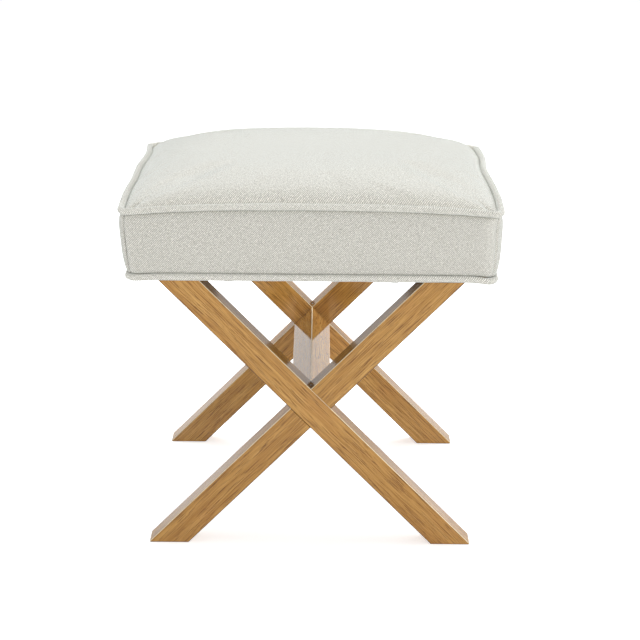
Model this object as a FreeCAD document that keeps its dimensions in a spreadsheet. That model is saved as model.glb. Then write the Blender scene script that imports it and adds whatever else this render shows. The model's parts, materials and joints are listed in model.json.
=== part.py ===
"""X frame stool: two half-lapped wooden X frames, a square stretcher on its corner and a boxed cushion.

Millimetres, +Z up. The origin is on the floor under the middle of the seat. The front X frame
faces -Y, the stretcher runs along Y, and the seat's width is along X.
"""

import FreeCAD, Part
import math
import os

import Sketcher

Vector = FreeCAD.Vector
UP = Vector(0, 0, 1)

doc = FreeCAD.newDocument("x_frame_stool")
sheet = doc.addObject("Spreadsheet::Sheet", "Sheet")

# Driving dimensions: name, value, what it is
DIMENSIONS = [
    ("stock", 35, "side of the square bar of the legs and the stretcher"),
    ("leg_angle", 45, "slope of a leg from the floor, degrees"),
    ("cross_height", 175, "middle of a crossing above the floor"),
    ("frame_inset", 1, "X frames' outer faces inside the base welt's middle line"),
    ("leg_top", 334.5, "height of the cut tops of the legs"),
    ("edge_round", 1.2, "rounding of the bars' long edges and of the soles"),
    ("lap_screw_radius", 1.75, "shank of the screw in a crossing's V"),
    ("lap_screw_length", 38, "shank length of that screw"),
    ("lap_head_radius", 3, "head of that screw"),
    ("lap_head_height", 2.2, "thickness of that head"),
    ("lap_head_clearance", 0.4, "gap round that head in its counterbore"),
    ("dowel_radius", 4, "stretcher dowel"),
    ("dowel_length", 50, "stretcher dowel, half in each piece"),
    ("dowel_spacing", 18, "between the two dowels of an end"),
    ("plate_margin", 8.25, "steel plate across a frame's two leg tops, its ends inside their outer edges"),
    ("plate_width", 28, "the same plate"),
    ("plate_thickness", 3, "the same plate"),
    ("screw_radius", 2, "wood screw shank"),
    ("screw_length", 24, "wood screw, head included"),
    ("screw_head_radius", 4, "countersunk head"),
    ("screw_head_height", 2.2, "countersunk head"),
    ("leg_screw_inset", 8, "leg screws, from the leg top's middle towards the stool's middle"),
    ("leg_screw_spacing", 14, "between the two screws of a leg top"),
    ("bolt_radius", 3, "seat bolt shank"),
    ("bolt_length", 18, "seat bolt under its head"),
    ("bolt_head_radius", 5.5, "low flat head"),
    ("bolt_head_height", 2.0, "low flat head, which the welt hides from in front"),
    ("bolt_socket_radius", 2.3, "hexagon socket in the head"),
    ("bolt_inset", 34.75, "seat bolts, from the leg tops' inner edges"),
    ("washer_radius", 8, "seat bolt washer"),
    ("washer_thickness", 1.2, "the same washer"),
    ("insert_radius", 5, "threaded insert in a rail"),
    ("insert_length", 14, "threaded insert in a rail"),
    ("seat_width", 453, "top welt, middle of one side to middle of the other, along X"),
    ("seat_depth", 438, "the same along Y"),
    ("side_taper", 6, "base welt inside the top welt, on the left and right"),
    ("end_taper", 3, "base welt inside the top welt, at the front and rear"),
    ("box_height", 80, "base welt to the top welt's corners"),
    ("corner_round", 20, "top welt's corners in plan"),
    ("side_bulge", 4.9, "how far the sides swell between the welts"),
    ("edge_bow", 8, "rise of the top edge from its corners to its middle"),
    ("crown_height", 42, "rise of the crown above the middle of the edges"),
    ("welt_radius", 4.2, "covered welt"),
    ("cord_radius", 3.2, "cord inside the welt"),
    ("sewing_gap", 0.1, "between a welt and the panels sewn to it"),
    ("fabric", 1.2, "cover cloth"),
    ("wadding", 6, "polyester layer over the foam"),
    ("lip_width", 22, "base welt's lip, turned in under the rails"),
    ("dust_cloth", 0.6, "dust cover under the seat"),
    ("dust_margin", 6, "dust cover's edge inside the base welt"),
    ("foam_overhang", 5, "foam beyond the rails"),
    ("rail_thickness", 20, "seat rail"),
    ("rail_height", 38, "seat rail"),
    ("frame_square", 2, "seat frame's outside corners, this much squarer than the base welt's inside"),
    ("board_thickness", 9, "plywood seat board"),
    ("block_side", 48, "corner block along each rail"),
    ("block_drop", 2, "corner block below the rail's top"),
    ("staple_width", 10, "staple crown"),
    ("staple_wire", 0.6, "staple wire"),
    ("staple_leg", 7, "staple length"),
]

for row, (name, value, meaning) in enumerate(DIMENSIONS, start=1):
    sheet.set(f"A{row}", name)
    sheet.set(f"B{row}", str(value))
    sheet.set(f"C{row}", meaning)
    sheet.setAlias(f"B{row}", name)
doc.recompute()


def size(expression):
    """The number that an expression of the sheet's names gives now."""
    return float(doc.Sheet.evalExpression(expression.replace("Sheet.", "")))


# Worked-out sizes, as expressions of the sheet
BASE_WIDTH = "(Sheet.seat_width - 2 * Sheet.side_taper)"
BASE_DEPTH = "(Sheet.seat_depth - 2 * Sheet.end_taper)"
OUTER_FACE = f"({BASE_DEPTH} / 2 - Sheet.frame_inset)"
INNER_FACE = f"({OUTER_FACE} - Sheet.stock)"
FRAME_MIDDLE = f"({OUTER_FACE} - Sheet.stock / 2)"
LEVEL_HALF = "(Sheet.stock / 2 / sin(Sheet.leg_angle))"
UPRIGHT_HALF = "(Sheet.stock / 2 / cos(Sheet.leg_angle))"
FOOT_X = "(Sheet.cross_height / tan(Sheet.leg_angle))"
LEG_TOP_X = "((Sheet.leg_top - Sheet.cross_height) / tan(Sheet.leg_angle))"
DUST_Z = "(Sheet.leg_top + Sheet.plate_thickness)"
LIP_Z = f"({DUST_Z} + Sheet.dust_cloth)"
RAIL_Z = f"({LIP_Z} + Sheet.fabric)"
BOARD_Z = f"({RAIL_Z} + Sheet.rail_height)"
FOAM_Z = f"({BOARD_Z} + Sheet.board_thickness)"
TOP_WELT_Z = f"({RAIL_Z} + Sheet.box_height)"
RAIL_X = f"({BASE_WIDTH} / 2 - Sheet.welt_radius - Sheet.fabric)"
RAIL_Y = f"({BASE_DEPTH} / 2 - Sheet.welt_radius - Sheet.fabric)"
RAIL_MIDDLE_X = f"({RAIL_X} - Sheet.rail_thickness / 2)"
RAIL_MIDDLE_Y = f"({RAIL_Y} - Sheet.rail_thickness / 2)"
FRAME_ROUND = "(Sheet.corner_round - Sheet.welt_radius - Sheet.fabric - Sheet.frame_square)"
LEG_SCREW_X = f"({LEG_TOP_X} - Sheet.leg_screw_inset)"
BOLT_X = f"({LEG_TOP_X} - {LEVEL_HALF} - Sheet.bolt_inset)"
WELT_CLEAR = "(Sheet.welt_radius + Sheet.sewing_gap)"


# Helpers: placing and labelling

def add(kind, label):
    """A new object with its label, which is a sub-part's node name."""
    thing = doc.addObject(kind, label)
    thing.Label = label
    return thing


def bind(thing, **expressions):
    """Bind properties to expressions; x, y and z are the placement's."""
    for prop, expression in expressions.items():
        path = f".Placement.Base.{prop}" if prop in ("x", "y", "z") else prop
        thing.setExpression(path, expression)
    return thing


def turn(thing, degrees, axis=UP):
    thing.Placement.Rotation = FreeCAD.Rotation(axis, degrees)
    return thing


def box(label, x, y, z, length, width, height):
    """A block centred on x and y that stands on z."""
    block = add("Part::Box", label)
    bind(block, Length=length, Width=width, Height=height)
    bind(block, x=f"{x} - ({length}) / 2", y=f"{y} - ({width}) / 2", z=z)
    return block


def cylinder(label, radius, height, z="0"):
    rod = add("Part::Cylinder", label)
    return bind(rod, Radius=radius, Height=height, z=z)


def fuse(label, *pieces):
    union = add("Part::MultiFuse", label)
    union.Shapes = list(pieces)
    return union


def cut(label, base, *tools):
    """The base less the tools, one after another."""
    for index, tool in enumerate(tools):
        last = index == len(tools) - 1
        step = add("Part::Cut", label if last else f"{label}_step_{index}")
        step.Base = base
        step.Tool = tool
        base = step
    return base


def common(label, first, second):
    shared = add("Part::MultiCommon", label)
    shared.Shapes = [first, second]
    return shared


def group(label, master, places):
    """Copies of one piece: each place is x, y and z expressions and a rotation."""
    links = []
    for index, (x, y, z, rotation) in enumerate(places):
        link = doc.addObject("App::Link", f"{label}_{index}")
        link.setLink(master)
        link.Placement.Rotation = rotation
        bind(link, x=x, y=y, z=z)
        links.append(link)
    together = add("Part::Compound", label)
    together.Links = links
    return together


NO_TURN = FreeCAD.Rotation()
HALF_TURN = FreeCAD.Rotation(UP, 180)
UPSIDE_DOWN = FreeCAD.Rotation(Vector(1, 0, 0), 180)


# Helpers: sketches and bodies

def pin(sketch, geometry, x, y):
    """Tie the start of a line to a place given by two expressions."""
    for kind, axis, expression in (("DistanceX", -2, x), ("DistanceY", -1, y)):
        value = size(expression)
        if abs(value) < 1e-9:
            sketch.addConstraint(Sketcher.Constraint("PointOnObject", geometry, 1, axis))
            continue
        index = sketch.addConstraint(Sketcher.Constraint(kind, -1, 1, geometry, 1, value))
        sketch.setExpression(f"Constraints[{index}]", expression)


def draw_outline(sketch, corners):
    """A closed polygon whose corners are pairs of expressions."""
    points = [Vector(size(x), size(y), 0) for x, y in corners]
    first = sketch.GeometryCount
    count = len(points)
    for index, point in enumerate(points):
        sketch.addGeometry(Part.LineSegment(point, points[(index + 1) % count]), False)
    for index in range(count):
        ends = (first + index, 2, first + (index + 1) % count, 1)
        sketch.addConstraint(Sketcher.Constraint("Coincident", *ends))
    for index, (x, y) in enumerate(corners):
        pin(sketch, first + index, x, y)


def draw_circle(sketch, x, y, radius):
    centre = Vector(size(x), size(y), 0)
    geometry = sketch.addGeometry(Part.Circle(centre, UP, size(radius)), False)
    for kind, axis, expression in (("DistanceX", -2, x), ("DistanceY", -1, y)):
        value = size(expression)
        if abs(value) < 1e-9:
            sketch.addConstraint(Sketcher.Constraint("PointOnObject", geometry, 3, axis))
            continue
        index = sketch.addConstraint(Sketcher.Constraint(kind, -1, 1, geometry, 3, value))
        sketch.setExpression(f"Constraints[{index}]", expression)
    index = sketch.addConstraint(Sketcher.Constraint("Radius", geometry, size(radius)))
    sketch.setExpression(f"Constraints[{index}]", radius)


def body_sketch(body, label, role, offset):
    """A sketch on one of the body's own planes, moved along the plane's normal."""
    sketch = body.newObject("Sketcher::SketchObject", label)
    plane = next(f for f in body.Origin.OriginFeatures if f.Role == role)
    sketch.AttachmentSupport = [(plane, "")]
    sketch.MapMode = "FlatFace"
    sketch.setExpression("AttachmentOffset.Base.z", offset)
    return sketch


def pad(body, sketch, length, both_ways=False):
    feature = body.newObject("PartDesign::Pad", f"{body.Label}_pad")
    feature.Profile = sketch
    feature.Midplane = both_ways
    feature.setExpression("Length", length)
    sketch.Visibility = False
    return feature


def pocket(body, sketch, length, label, along_normal=True):
    """Cut a sketch into the body, and make sure that it took something away."""
    doc.recompute()
    before = body.Shape.Volume
    feature = body.newObject("PartDesign::Pocket", f"{body.Label}_{label}")
    feature.Profile = sketch
    feature.Reversed = along_normal
    feature.setExpression("Length", length)
    doc.recompute()
    if body.Shape.Volume >= before:
        raise RuntimeError(f"{feature.Label} cuts nothing")
    return feature


def round_edges(body, feature, radius, chosen, label):
    """Fillet the edges of a feature that a test picks."""
    doc.recompute()
    names = [f"Edge{i}" for i, edge in enumerate(feature.Shape.Edges, start=1) if chosen(edge)]
    fillet = body.newObject("PartDesign::Fillet", f"{body.Label}_{label}")
    fillet.Base = (feature, names)
    fillet.setExpression("Radius", radius)
    return fillet


# Legs: square bars cut flat at the floor and under the seat, half-lapped where they cross

def is_worn(edge):
    """The edges along a leg and round its sole, which are rounded."""
    return edge.Length > size("Sheet.leg_top") or abs(edge.BoundBox.ZMax) < 1e-6


def leg(label, lean, whole_outside, turned):
    """A leg of the front X frame, or of the rear one when it is turned half a turn.

    lean is the side that its foot stands on: 1 for +X, -1 for -X. The leg that is whole on the
    outside has its notch in the inner half of its thickness, and the other one the reverse.
    """
    body = add("PartDesign::Body", label)
    outline = body_sketch(body, f"{label}_outline", "XZ_Plane", INNER_FACE)
    draw_outline(outline, [
        (f"{lean} * {FOOT_X} - {LEVEL_HALF}", "0"),
        (f"{lean} * {FOOT_X} + {LEVEL_HALF}", "0"),
        (f"-{lean} * {LEG_TOP_X} + {LEVEL_HALF}", "Sheet.leg_top"),
        (f"-{lean} * {LEG_TOP_X} - {LEVEL_HALF}", "Sheet.leg_top"),
    ])
    bar = pad(body, outline, "Sheet.stock")
    round_edges(body, bar, "Sheet.edge_round", is_worn, "edges")

    # the notch is the width of the bar that crosses, and a little longer than it needs
    along_x = f"{lean} * Sheet.stock * cos(Sheet.leg_angle)"
    along_z = "Sheet.stock * sin(Sheet.leg_angle)"
    across_x = f"{lean} * Sheet.stock / 2 * sin(Sheet.leg_angle)"
    across_z = "Sheet.stock / 2 * cos(Sheet.leg_angle)"
    notch_plane = INNER_FACE if whole_outside else FRAME_MIDDLE
    notch = body_sketch(body, f"{label}_notch", "XZ_Plane", notch_plane)
    draw_outline(notch, [
        (f"-({along_x}) - {across_x}", f"Sheet.cross_height - {along_z} + {across_z}"),
        (f"-({along_x}) + {across_x}", f"Sheet.cross_height - {along_z} - {across_z}"),
        (f"{along_x} + {across_x}", f"Sheet.cross_height + {along_z} - {across_z}"),
        (f"{along_x} - {across_x}", f"Sheet.cross_height + {along_z} + {across_z}"),
    ])
    pocket(body, notch, "Sheet.stock / 2", "lap")

    # the screw goes straight down from the V, half in each leg
    head_seat = f"Sheet.cross_height + {UPRIGHT_HALF} - Sheet.lap_head_height"
    shank = body_sketch(body, f"{label}_screw_hole", "XY_Plane", head_seat)
    draw_circle(shank, "0", f"-{FRAME_MIDDLE}", "Sheet.lap_screw_radius")
    pocket(body, shank, "Sheet.lap_screw_length", "screw_bore", along_normal=False)
    bore = body_sketch(body, f"{label}_head_hole", "XY_Plane", f"{head_seat} + Sheet.stock / 2")
    draw_circle(bore, "0", f"-{FRAME_MIDDLE}", "Sheet.lap_head_radius + Sheet.lap_head_clearance")
    pocket(body, bore, "Sheet.stock / 2", "counterbore", along_normal=False)

    dowels = body_sketch(body, f"{label}_dowel_holes", "XZ_Plane", INNER_FACE)
    for side in (-1, 1):
        draw_circle(dowels, f"{side} * Sheet.dowel_spacing / 2", "Sheet.cross_height", "Sheet.dowel_radius")
    pocket(body, dowels, "Sheet.dowel_length / 2", "dowel_bores")

    screws = body_sketch(body, f"{label}_leg_screw_holes", "XY_Plane", "Sheet.leg_top")
    for side in (-1, 1):
        y = f"-{FRAME_MIDDLE} + {side} * Sheet.leg_screw_spacing / 2"
        draw_circle(screws, f"-{lean} * {LEG_SCREW_X}", y, "Sheet.screw_radius")
    pocket(body, screws, "Sheet.screw_length - Sheet.plate_thickness", "top_bores", along_normal=False)
    if turned:
        body.Placement = FreeCAD.Placement(Vector(), HALF_TURN)
    return body


front_leg_through = leg("front_leg_through", 1, True, False)
front_leg_lapped = leg("front_leg_lapped", -1, False, False)
rear_leg_through = leg("rear_leg_through", 1, True, True)
rear_leg_lapped = leg("rear_leg_lapped", -1, False, True)


# Stretcher: the same bar set on its corner, so that it continues the crossing's diamond

def stretcher_bar():
    body = add("PartDesign::Body", "stretcher")
    section = body_sketch(body, "stretcher_section", "XZ_Plane", "0")
    draw_outline(section, [
        (f"-{LEVEL_HALF}", "Sheet.cross_height"),
        ("0", f"Sheet.cross_height - {UPRIGHT_HALF}"),
        (LEVEL_HALF, "Sheet.cross_height"),
        ("0", f"Sheet.cross_height + {UPRIGHT_HALF}"),
    ])
    bar = pad(body, section, f"2 * {INNER_FACE}", both_ways=True)
    length = size(INNER_FACE)
    round_edges(body, bar, "Sheet.edge_round", lambda edge: edge.Length > length, "edges")
    for label, plane, outwards in (("front", INNER_FACE, False), ("rear", f"-{INNER_FACE}", True)):
        ends = body_sketch(body, f"stretcher_{label}_end", "XZ_Plane", plane)
        for side in (-1, 1):
            draw_circle(ends, f"{side} * Sheet.dowel_spacing / 2", "Sheet.cross_height", "Sheet.dowel_radius")
        pocket(body, ends, "Sheet.dowel_length / 2", f"{label}_bores", along_normal=outwards)
    return body


stretcher = stretcher_bar()

dowel = cylinder("dowel_pattern", "Sheet.dowel_radius", "Sheet.dowel_length")
ALONG_Y = FreeCAD.Rotation(Vector(1, 0, 0), -90)
stretcher_dowels = group("stretcher_dowels", dowel, [
    (f"{side} * Sheet.dowel_spacing / 2", f"{end} * {INNER_FACE} - Sheet.dowel_length / 2",
     "Sheet.cross_height", ALONG_Y)
    for end in (-1, 1)
    for side in (-1, 1)
])


# Fasteners: each pattern has its head's underside or top at the origin and its shank down -Z

def lap_screw_pattern():
    shank = cylinder("lap_screw_shank", "Sheet.lap_screw_radius", "Sheet.lap_screw_length",
                     "-Sheet.lap_screw_length")
    head = cylinder("lap_screw_head", "Sheet.lap_head_radius", "Sheet.lap_head_height")
    slots = cross_recess("lap_screw", "Sheet.lap_head_radius", "Sheet.lap_head_height")
    return cut("lap_screw_pattern", fuse("lap_screw_blank", shank, head), slots)


def cross_recess(label, radius, top):
    """Two crossed slots, half of the head's thickness deep."""
    sizes = (f"{radius} * 1.2", f"{radius} * 0.25")
    slots = [
        box(f"{label}_slot_{i}", "0", "0", f"{top} / 2", sizes[i], sizes[1 - i], top)
        for i in range(2)
    ]
    return fuse(f"{label}_recess", *slots)


def wood_screw_pattern():
    """A countersunk screw whose head's top is at the origin."""
    neck = "Sheet.screw_length - Sheet.screw_head_height"
    shank = cylinder("wood_screw_shank", "Sheet.screw_radius", neck, "-Sheet.screw_length")
    head = add("Part::Cone", "wood_screw_head")
    bind(head, Radius1="Sheet.screw_radius", Radius2="Sheet.screw_head_radius",
         Height="Sheet.screw_head_height", z="-Sheet.screw_head_height")
    return fuse("wood_screw_pattern", shank, head)


def bolt_pattern():
    shank = cylinder("bolt_shank", "Sheet.bolt_radius", "Sheet.bolt_length", "-Sheet.bolt_length")
    head = cylinder("bolt_head", "Sheet.bolt_head_radius", "Sheet.bolt_head_height")
    socket = add("Part::Prism", "bolt_socket")
    socket.Polygon = 6
    bind(socket, Circumradius="Sheet.bolt_socket_radius", Height="Sheet.bolt_head_height",
         z="Sheet.bolt_head_height / 2")
    return cut("bolt_pattern", fuse("bolt_blank", shank, head), socket)


def staple_pattern():
    """A staple whose crown's outer face is at the origin and whose legs point up."""
    outside = box("staple_outside", "0", "0", "0", "Sheet.staple_width", "Sheet.staple_wire",
                  "Sheet.staple_leg")
    inside = box("staple_inside", "0", "0", "Sheet.staple_wire",
                 "Sheet.staple_width - 2 * Sheet.staple_wire", "2 * Sheet.staple_wire", "Sheet.staple_leg")
    return cut("staple_pattern", outside, inside)


wood_screw = wood_screw_pattern()
seat_bolt = bolt_pattern()
staple = staple_pattern()

head_seat_z = f"Sheet.cross_height + {UPRIGHT_HALF} - Sheet.lap_head_height"
lap_screws = group("lap_screws", lap_screw_pattern(), [
    ("0", f"{end} * {FRAME_MIDDLE}", head_seat_z, NO_TURN) for end in (-1, 1)
])

# Wood screws that hold the plates down on the leg tops, flush in the plates
leg_screws = group("leg_screws", wood_screw, [
    (f"{side} * {LEG_SCREW_X}", f"{end} * {FRAME_MIDDLE} + {row} * Sheet.leg_screw_spacing / 2",
     DUST_Z, NO_TURN)
    for end in (-1, 1)
    for side in (-1, 1)
    for row in (-1, 1)
])

# Seat bolts come up through washer, plate and cloth into the inserts in the rails
bolt_places = [
    (f"{side} * {BOLT_X}", f"{end} * {RAIL_MIDDLE_Y}")
    for end in (-1, 1)
    for side in (-1, 1)
]
WASHER_Z = "Sheet.leg_top - Sheet.washer_thickness"
seat_bolts = group("seat_bolts", seat_bolt, [(x, y, WASHER_Z, UPSIDE_DOWN) for x, y in bolt_places])
washer = cylinder("washer_blank", "Sheet.washer_radius", "Sheet.washer_thickness")
washer_blanks = group("washer_blanks", washer, [(x, y, WASHER_Z, NO_TURN) for x, y in bolt_places])
bolt_washers = cut("bolt_washers", washer_blanks, seat_bolts)
insert = cylinder("insert_blank", "Sheet.insert_radius", "Sheet.insert_length")
insert_blanks = group("insert_blanks", insert, [(x, y, RAIL_Z, NO_TURN) for x, y in bolt_places])
threaded_inserts = cut("threaded_inserts", insert_blanks, seat_bolts)


# Plates across the leg tops

def leg_plate(label, end):
    blank = box(f"{label}_blank", "0", f"{end} * {FRAME_MIDDLE}", "Sheet.leg_top",
                f"2 * ({LEG_TOP_X} + {LEVEL_HALF} - Sheet.plate_margin)", "Sheet.plate_width",
                "Sheet.plate_thickness")
    return cut(label, blank, leg_screws, seat_bolts)


front_leg_plate = leg_plate("front_leg_plate", -1)
rear_leg_plate = leg_plate("rear_leg_plate", 1)


# Seat frame: front and rear rails run the full width, side rails fit between them

SIDE_RAIL_LENGTH = f"2 * ({RAIL_Y} - Sheet.rail_thickness)"
JOINT_SCREW_X = f"({RAIL_X} - Sheet.rail_thickness + Sheet.screw_head_radius)"
joint_screws = group("joint_screws", wood_screw, [
    (f"{side} * {JOINT_SCREW_X}", f"{end} * {RAIL_Y}",
     f"{RAIL_Z} + Sheet.rail_height * {level}", FreeCAD.Rotation(Vector(1, 0, 0), -90 * end))
    for end in (-1, 1)
    for side in (-1, 1)
    for level in (0.25, 0.75)
])
board_screws = group("board_screws", wood_screw, [
    (f"{i} * {RAIL_X} / 2", f"{end} * {RAIL_MIDDLE_Y}", FOAM_Z, NO_TURN)
    for end in (-1, 1)
    for i in (-1, 0, 1)
] + [
    (f"{side} * {RAIL_MIDDLE_X}", f"{i} * {RAIL_Y} / 3", FOAM_Z, NO_TURN)
    for side in (-1, 1)
    for i in (-1, 1)
])

# Each corner block is a triangular prism screwed to its two rails
BLOCK_X = f"({RAIL_X} - Sheet.rail_thickness)"
BLOCK_Y = f"({RAIL_Y} - Sheet.rail_thickness)"
CORNERS = {
    "front_left": (-1, -1, 0),
    "front_right": (1, -1, 90),
    "rear_right": (1, 1, 180),
    "rear_left": (-1, 1, 270),
}
# a screw's head lies this far inside the block's slanted face
BLOCK_SCREW_IN = "(Sheet.block_side / 2)"
BLOCK_SCREW_DEPTH = "(Sheet.block_side * 0.3)"

block_screw_places = []
for side, end, _ in CORNERS.values():
    block_screw_places.append((
        f"{side} * ({BLOCK_X} - {BLOCK_SCREW_DEPTH})", f"{end} * ({BLOCK_Y} - {BLOCK_SCREW_IN})",
        f"{RAIL_Z} + Sheet.rail_height * 0.3", FreeCAD.Rotation(Vector(0, 1, 0), -90 * side),
    ))
    block_screw_places.append((
        f"{side} * ({BLOCK_X} - {BLOCK_SCREW_IN})", f"{end} * ({BLOCK_Y} - {BLOCK_SCREW_DEPTH})",
        f"{RAIL_Z} + Sheet.rail_height * 0.6", FreeCAD.Rotation(Vector(1, 0, 0), 90 * end),
    ))
block_screws = group("block_screws", wood_screw, block_screw_places)
access = cylinder("access_bore", "Sheet.screw_head_radius + 0.5", "Sheet.block_side")
access_bores = group("access_bores", access, block_screw_places)


def corner_block(label, side, end, angle):
    body = add("PartDesign::Body", f"{label}_block_blank")
    outline = body_sketch(body, f"{label}_block_outline", "XY_Plane", "0")
    draw_outline(outline, [("0", "0"), ("Sheet.block_side", "0"), ("0", "Sheet.block_side")])
    pad(body, outline, "Sheet.rail_height - Sheet.block_drop")
    turn(body, angle)
    bind(body, x=f"{side} * {BLOCK_X}", y=f"{end} * {BLOCK_Y}", z=RAIL_Z)
    return cut(f"{label}_corner_block", body, block_screws, access_bores)


corner_blocks = [corner_block(label, *place) for label, place in CORNERS.items()]


# Staples: one row holds the base welt's lip, the other the dust cover

def staple_row(label, inset, z, along_x, along_y):
    """Staples round the underside at an inset from the rails' outer faces."""
    places = []
    for end in (-1, 1):
        for index in range(along_x):
            share = (index + 0.5) / along_x * 2 - 1
            places.append((f"{share:.4f} * ({RAIL_X} - {inset})", f"{end} * ({RAIL_Y} - {inset})", z,
                           NO_TURN))
    for side in (-1, 1):
        for index in range(along_y):
            share = (index + 0.5) / along_y * 2 - 1
            places.append((f"{side} * ({RAIL_X} - {inset})", f"{share:.4f} * ({RAIL_Y} - {inset})", z,
                           FreeCAD.Rotation(UP, 90)))
    return group(label, staple, places)


cover_staples = staple_row("cover_staples", "Sheet.rail_thickness * 0.75", LIP_Z, 8, 7)
dust_staples = staple_row("dust_cover_staples", "Sheet.rail_thickness * 0.35", DUST_Z, 7, 8)


FULL_WIDTH = f"2 * {RAIL_X}"
FRAME_HEIGHT = "(Sheet.rail_height + Sheet.board_thickness)"


def rounded_block(label, x, y, z, length, width, height):
    """A block within the seat frame's outline, whose upright corners are rounded."""
    block = box(f"{label}_square", x, y, z, length, width, height)
    return common(f"{label}_blank", block, frame_outline)


def rounded_outline():
    """The seat frame's outline as an upright body with rounded corners."""
    block = add("PartDesign::Body", "frame_outline")
    sketch = body_sketch(block, "frame_outline_sketch", "XY_Plane", RAIL_Z)
    draw_outline(sketch, [(f"-{RAIL_X}", f"-{RAIL_Y}"), (RAIL_X, f"-{RAIL_Y}"),
                          (RAIL_X, RAIL_Y), (f"-{RAIL_X}", RAIL_Y)])
    upright = pad(block, sketch, FRAME_HEIGHT)
    round_edges(block, upright, FRAME_ROUND,
                lambda edge: abs(edge.BoundBox.ZLength - size(FRAME_HEIGHT)) < 0.01, "corners")
    return block


frame_outline = rounded_outline()


def rail(label, x, y, length, width):
    blank = rounded_block(label, x, y, RAIL_Z, length, width, "Sheet.rail_height")
    return cut(label, blank, joint_screws, board_screws, block_screws, cover_staples, dust_staples,
               seat_bolts, threaded_inserts)


front_rail = rail("front_rail", "0", f"-{RAIL_MIDDLE_Y}", FULL_WIDTH, "Sheet.rail_thickness")
rear_rail = rail("rear_rail", "0", RAIL_MIDDLE_Y, FULL_WIDTH, "Sheet.rail_thickness")
left_rail = rail("left_rail", f"-{RAIL_MIDDLE_X}", "0", "Sheet.rail_thickness", SIDE_RAIL_LENGTH)
right_rail = rail("right_rail", RAIL_MIDDLE_X, "0", "Sheet.rail_thickness", SIDE_RAIL_LENGTH)

board_blank = rounded_block("seat_board", "0", "0", BOARD_Z, FULL_WIDTH, f"2 * {RAIL_Y}",
                            "Sheet.board_thickness")
seat_board = cut("seat_board", board_blank, board_screws)


# Soft forms: wires made of lines and arcs, read from the sheet

def tangent_arc(start, direction, end):
    """The arc that leaves start along direction and ends at end."""
    chord = end - start
    normal = chord - direction * (chord.dot(direction) / direction.dot(direction))
    normal.normalize()
    radius = chord.dot(chord) / (2 * chord.dot(normal))
    centre = start + normal * radius
    middle = (start - centre) + (end - centre)
    middle.normalize()
    return Part.Arc(start, centre + middle * radius, end).toShape()


def loop(half_x, half_y, radius, z, bow):
    """A rounded rectangle whose sides rise by bow in their middles; it starts in mid front.

    The corners' arcs leave each side along its own end slope, so the loop has no kink.
    """
    length = 2 * (half_x - radius)
    slope = math.tan(2 * math.atan(2 * bow / length))
    bow_y = bow * (half_y - radius) / (half_x - radius)
    edges = []
    for turn_count in range(4):
        rotation = FreeCAD.Rotation(UP, 90 * turn_count)
        along, out = (half_x, half_y) if turn_count % 2 == 0 else (half_y, half_x)
        rise = bow if turn_count % 2 == 0 else bow_y
        middle = Vector(0, -out, z + rise)
        side_end = Vector(along - radius, -out, z)
        corner_end = Vector(along, -out + radius, z)
        next_middle = Vector(along, 0, z + (bow_y if turn_count % 2 == 0 else bow))
        level = Vector(1, 0, 0)
        sloping = Vector(1, 0, -slope)
        climbing = Vector(0, 1, slope)
        if bow:
            pieces = [
                tangent_arc(middle, level, side_end),
                tangent_arc(side_end, sloping, corner_end),
                tangent_arc(corner_end, climbing, next_middle),
            ]
        else:
            pieces = [
                Part.makeLine(middle, side_end),
                tangent_arc(side_end, level, corner_end),
                Part.makeLine(corner_end, next_middle),
            ]
        for piece in pieces:
            piece.Placement = FreeCAD.Placement(Vector(), rotation)
        edges += pieces
    return Part.Wire(Part.__sortEdges__(edges))


def feature(label, shape, x="0", y="0", z="0"):
    """A shape made here, with its placement set after it."""
    thing = add("Part::Feature", label)
    thing.Shape = shape
    thing.Placement = FreeCAD.Placement(Vector(size(x), size(y), size(z)), FreeCAD.Rotation())
    return thing


def tube(label, spine, radius):
    """A tube of a round section along a closed loop."""
    start = spine.Edges[0]
    circle = Part.Circle(start.valueAt(start.FirstParameter), start.tangentAt(start.FirstParameter),
                         size(radius))
    profile = Part.Wire([circle.toShape()])
    swept = spine.makePipeShell([profile], True, False)
    return feature(label, Part.makeSolid(swept) if swept.ShapeType != "Solid" else swept)


top_spine = loop(size("Sheet.seat_width / 2"), size("Sheet.seat_depth / 2"), size("Sheet.corner_round"),
                 size(TOP_WELT_Z), size("Sheet.edge_bow"))
base_spine = loop(size(f"{BASE_WIDTH} / 2"), size(f"{BASE_DEPTH} / 2"), size("Sheet.corner_round"),
                  size(RAIL_Z), 0)

top_welt_cord = tube("top_welt_cord", top_spine, "Sheet.cord_radius")
top_welt = cut("top_welt", tube("top_welt_outside", top_spine, "Sheet.welt_radius"), top_welt_cord)
top_clear = tube("top_welt_clearance", top_spine, WELT_CLEAR)
base_welt_cord = tube("base_welt_cord", base_spine, "Sheet.cord_radius")
base_tube = tube("base_welt_outside", base_spine, "Sheet.welt_radius")
base_clear = tube("base_welt_clearance", base_spine, WELT_CLEAR)


# Cushion: walls that swell between the welts, under a crown that is flat in the middle

SIDE_LEVELS = (0, 0.25, 0.5, 0.75, 1, 1.12)
CROWN_SECTIONS = (-1.06, -0.93, -0.75, -0.5, -0.2, 0.2, 0.5, 0.75, 0.93, 1.06)
SHOULDER = 0.55
ROUND_OVER = 3


def wall_form(inset):
    """The cushion's outline from the base welt to above the top one, less an inset all round."""
    sections = []
    for level in SIDE_LEVELS:
        swell = 4 * size("Sheet.side_bulge") * level * (1 - level)
        half_x = size(f"Sheet.seat_width / 2 - Sheet.side_taper * {1 - level}") + swell - inset
        half_y = size(f"Sheet.seat_depth / 2 - Sheet.end_taper * {1 - level}") + swell - inset
        height = size(RAIL_Z) + size("Sheet.box_height") * level
        sections.append(loop(half_x, half_y, size("Sheet.corner_round") - inset, height, 0))
    return Part.makeLoft(sections, True, False)


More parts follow.
